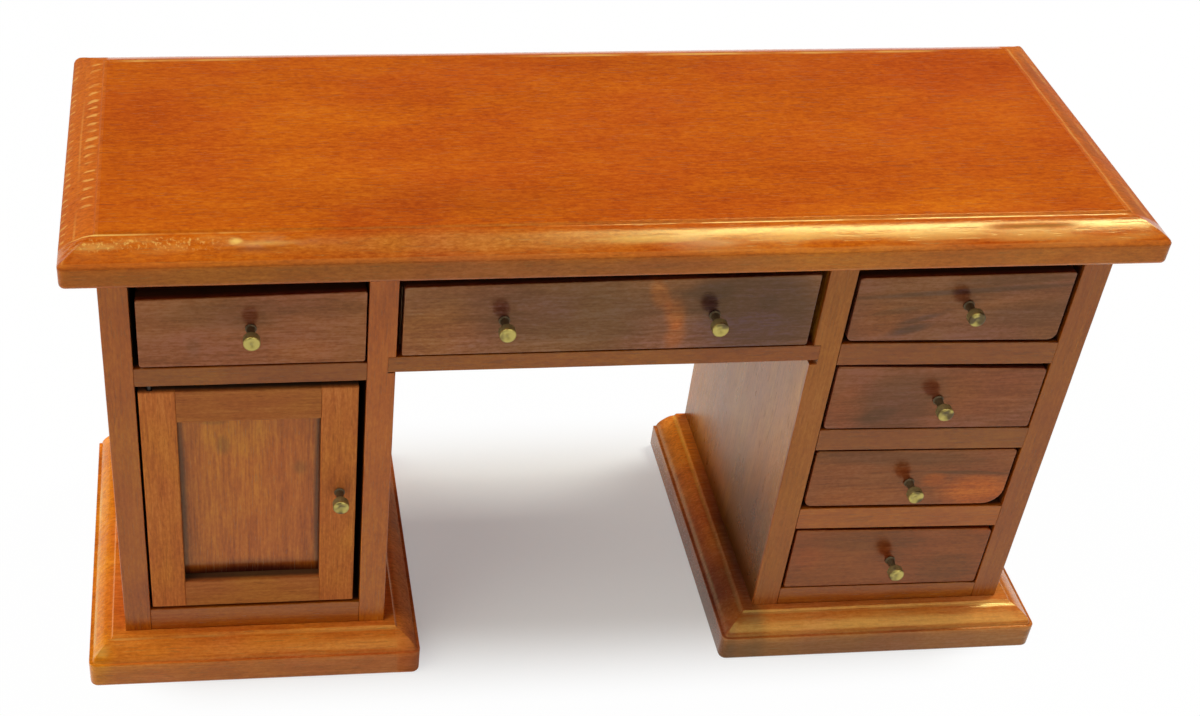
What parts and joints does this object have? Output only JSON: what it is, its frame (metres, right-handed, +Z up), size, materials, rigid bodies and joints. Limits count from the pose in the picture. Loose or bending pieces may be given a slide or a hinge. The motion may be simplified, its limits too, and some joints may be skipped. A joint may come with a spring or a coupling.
{
  "type": "pedestal desk",
  "caption": "Miniature kneehole desk: moulded top on two pedestals with sliding drawers, a hinged cupboard door and turned brass knobs.",
  "frame": {"origin": "on the floor under the middle of the desk", "axes": "+X to the right as seen from the front, +Y towards the back, +Z up"},
  "size_m": [0.1526, 0.057, 0.081],
  "materials": {
    "top_wood": "orange-brown gloss varnish",
    "plinth_wood": "orange-brown gloss varnish",
    "case_wood": "brown gloss varnish",
    "front_wood": "dark brown gloss varnish",
    "panel_wood": "yellow-brown gloss varnish",
    "drawer_box_wood": "bare sanded wood",
    "knob_brass": "turned, slightly tarnished",
    "pin_steel": "plain wire"
  },
  "bodies": {
    "carcass": {"centre_back": "drawer_box_wood", "centre_shelf": "case_wood", "centre_top_rail": "case_wood", "desktop": "top_wood", "door_hinge_pins": "pin_steel", "left_back": "drawer_box_wood", "left_bottom": "case_wood", "left_divider": "case_wood", "left_inner_side": "case_wood", "left_outer_side": "case_wood", "left_plinth": "plinth_wood", "left_top_rail": "case_wood", "right_back": "drawer_box_wood", "right_bottom": "case_wood", "right_divider_1": "case_wood", "right_divider_2": "case_wood", "right_divider_3": "case_wood", "right_inner_side": "case_wood", "right_outer_side": "case_wood", "right_plinth": "plinth_wood", "right_top_rail": "case_wood"},
    "left_drawer": {"left_drawer_back": "drawer_box_wood", "left_drawer_bottom": "drawer_box_wood", "left_drawer_front": "front_wood", "left_drawer_knob": "knob_brass", "left_drawer_sides": "drawer_box_wood"},
    "centre_drawer": {"centre_drawer_back": "drawer_box_wood", "centre_drawer_bottom": "drawer_box_wood", "centre_drawer_front": "front_wood", "centre_drawer_knobs": "knob_brass", "centre_drawer_sides": "drawer_box_wood"},
    "right_drawer_1": {"right_drawer_1_back": "drawer_box_wood", "right_drawer_1_bottom": "drawer_box_wood", "right_drawer_1_front": "front_wood", "right_drawer_1_knob": "knob_brass", "right_drawer_1_sides": "drawer_box_wood"},
    "right_drawer_2": {"right_drawer_2_back": "drawer_box_wood", "right_drawer_2_bottom": "drawer_box_wood", "right_drawer_2_front": "front_wood", "right_drawer_2_knob": "knob_brass", "right_drawer_2_sides": "drawer_box_wood"},
    "right_drawer_3": {"right_drawer_3_back": "drawer_box_wood", "right_drawer_3_bottom": "drawer_box_wood", "right_drawer_3_front": "front_wood", "right_drawer_3_knob": "knob_brass", "right_drawer_3_sides": "drawer_box_wood"},
    "right_drawer_4": {"right_drawer_4_back": "drawer_box_wood", "right_drawer_4_bottom": "drawer_box_wood", "right_drawer_4_front": "front_wood", "right_drawer_4_knob": "knob_brass", "right_drawer_4_sides": "drawer_box_wood"},
    "door": {"door_bottom_rail": "front_wood", "door_hinge_stile": "front_wood", "door_knob": "knob_brass", "door_lock_stile": "front_wood", "door_panel": "panel_wood", "door_top_rail": "front_wood"}
  },
  "joints": [
    {"name": "left_drawer_slide", "type": "slide", "parent": "carcass", "child": "left_drawer", "axis": [0, -1, 0], "range_m": [0, 0.036]},
    {"name": "centre_drawer_slide", "type": "slide", "parent": "carcass", "child": "centre_drawer", "axis": [0, -1, 0], "range_m": [0, 0.036]},
    {"name": "right_drawer_1_slide", "type": "slide", "parent": "carcass", "child": "right_drawer_1", "axis": [0, -1, 0], "range_m": [0, 0.036]},
    {"name": "right_drawer_2_slide", "type": "slide", "parent": "carcass", "child": "right_drawer_2", "axis": [0, -1, 0], "range_m": [0, 0.036]},
    {"name": "right_drawer_3_slide", "type": "slide", "parent": "carcass", "child": "right_drawer_3", "axis": [0, -1, 0], "range_m": [0, 0.036]},
    {"name": "right_drawer_4_slide", "type": "slide", "parent": "carcass", "child": "right_drawer_4", "axis": [0, -1, 0], "range_m": [0, 0.036]},
    {"name": "door_hinge", "type": "hinge", "parent": "carcass", "child": "door", "pos_m": [-0.06445, -0.02265, 0], "axis": [0, 0, -1], "range_deg": [0, 105]}
  ]
}
